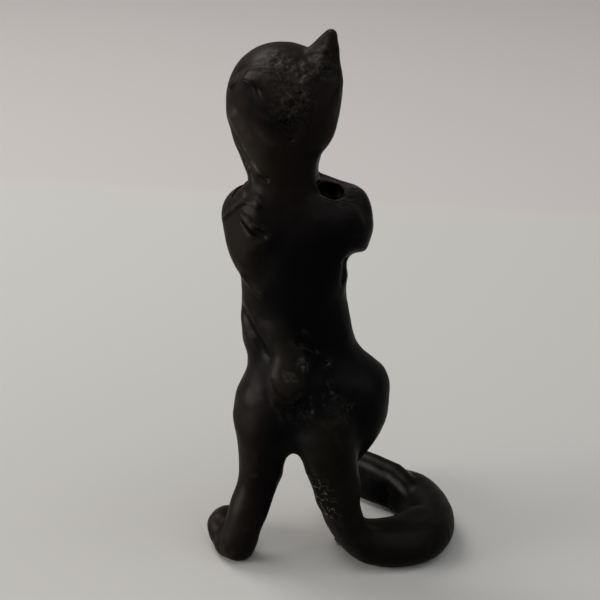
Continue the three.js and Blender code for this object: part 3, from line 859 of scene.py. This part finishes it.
def dress(pieces):
    """Gives every piece the clay of its node's slot."""
    clays = {name: clay_material(name, *look) for name, look in CLAYS.items()}
    slots = {subpart["node"]: subpart["material_slot"] for subpart in frame["record"]["subparts"]}
    for name, piece in pieces.items():
        piece.data.materials.append(clays[slots[name]])


# ---- Setting ----


def paper_material(name, near, far):
    """Matt paper that turns evenly from one tint near the figure to another behind it."""
    graph = Graph(name)
    split = graph.nodes.new("ShaderNodeSeparateXYZ")
    graph.feed(split.inputs["Vector"], graph.place)
    back = graph.ramp(split.outputs["Y"], -0.1, 0.19)
    graph.feed(graph.shader.inputs["Base Color"], graph.mix(back, near, far))
    graph.feed(graph.shader.inputs["Roughness"], 0.7)
    graph.feed(graph.shader.inputs["Specular IOR Level"], 0.2)
    return graph.material


def lay_sheet(name, corners, height, near, far):
    mesh = bpy.data.meshes.new(name)
    mesh.from_pydata([(x, y, height) for x, y in corners], [], [(3, 2, 1, 0)])
    mesh.materials.append(paper_material("pale_" + name, near, far))
    sheet = bpy.data.objects.new(name, mesh)
    bpy.context.scene.collection.objects.link(sheet)


def make_stage():
    """A sheet of paper under the figure, and the bench that goes on beyond its slanting far edge."""
    half_width = 1.0
    front_y, edge_y, back_y = -0.9, 0.2006, 1.5
    slant = 0.2 * half_width
    edge = [(-half_width, edge_y + slant), (half_width, edge_y - slant)]
    paper = [(half_width, front_y), (-half_width, front_y), *edge]
    bench = [*reversed(edge), (-half_width, back_y), (half_width, back_y)]
    bench_tint = (0.228, 0.222, 0.22)
    lay_sheet("paper", paper, 0.0, (0.197, 0.199, 0.195), (0.226, 0.231, 0.222))
    lay_sheet("bench", bench, -0.0001, bench_tint, bench_tint)


def softbox(name, at, aim, width, height, watts, color=(1, 1, 1)):
    light = bpy.data.lights.new(name, "AREA")
    light.shape = "RECTANGLE"
    light.size = width
    light.size_y = height
    light.energy = watts
    light.color = color
    lamp = bpy.data.objects.new(name, light)
    lamp.location = at
    lamp.rotation_euler = (Vector(aim) - Vector(at)).to_track_quat("-Z", "Y").to_euler()
    bpy.context.scene.collection.objects.link(lamp)


def make_lights():
    """A warm window low on the left, a smaller one above the far side, and soft light from the ceiling and
    over the ground beyond the figure."""
    middle = (0, 0, 0.05)
    warm = (1.0, 0.93, 0.89)
    softbox("window", (-1.55, -0.36, 0.4), middle, width=0.9, height=0.9, watts=54, color=warm)
    softbox("skylight", (-0.33, 0.3, 0.68), middle, width=0.4, height=0.4, watts=6.6, color=warm)
    softbox("ceiling", (0.6, -0.9, 1.2), (0.1, 0, 0), width=2.0, height=2.0, watts=20)
    softbox("wash", (0.1, -0.1, 0.7), (0.05, 0.25, 0.05), width=1.2, height=0.3, watts=2.5)
    world = bpy.data.worlds.new("room")
    world.use_nodes = True
    air = world.node_tree.nodes["Background"].inputs
    air["Color"].default_value = (1, 1, 1, 1)
    air["Strength"].default_value = 0.38
    bpy.context.scene.world = world
    bpy.context.scene.view_settings.view_transform = "Standard"


def make_camera():
    """Looks at the figure's back from a little above, as a hand-held camera would."""
    distance = 0.265
    elevation = math.radians(22)
    aim_shift = Vector((-0.0005, -0.0025, 0.0019))
    top = cad_box[1][2]
    torso_low, torso_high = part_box("torso")
    aim = Vector(((torso_low.x + torso_high.x) / 2, (torso_low.y + torso_high.y) / 2, top / 2))
    aim += aim_shift
    data = bpy.data.cameras.new("camera")
    data.sensor_width = 36
    data.lens = 91.8
    data.clip_start = 0.01
    camera = bpy.data.objects.new("camera", data)
    camera.location = aim + distance * Vector((0, -math.cos(elevation), math.sin(elevation)))
    camera.rotation_euler = (math.pi / 2 - elevation, 0, 0)
    bpy.context.scene.collection.objects.link(camera)
    bpy.context.scene.camera = camera


make_stage()
make_lights()
make_camera()
dress(build_pieces(model_clay()))
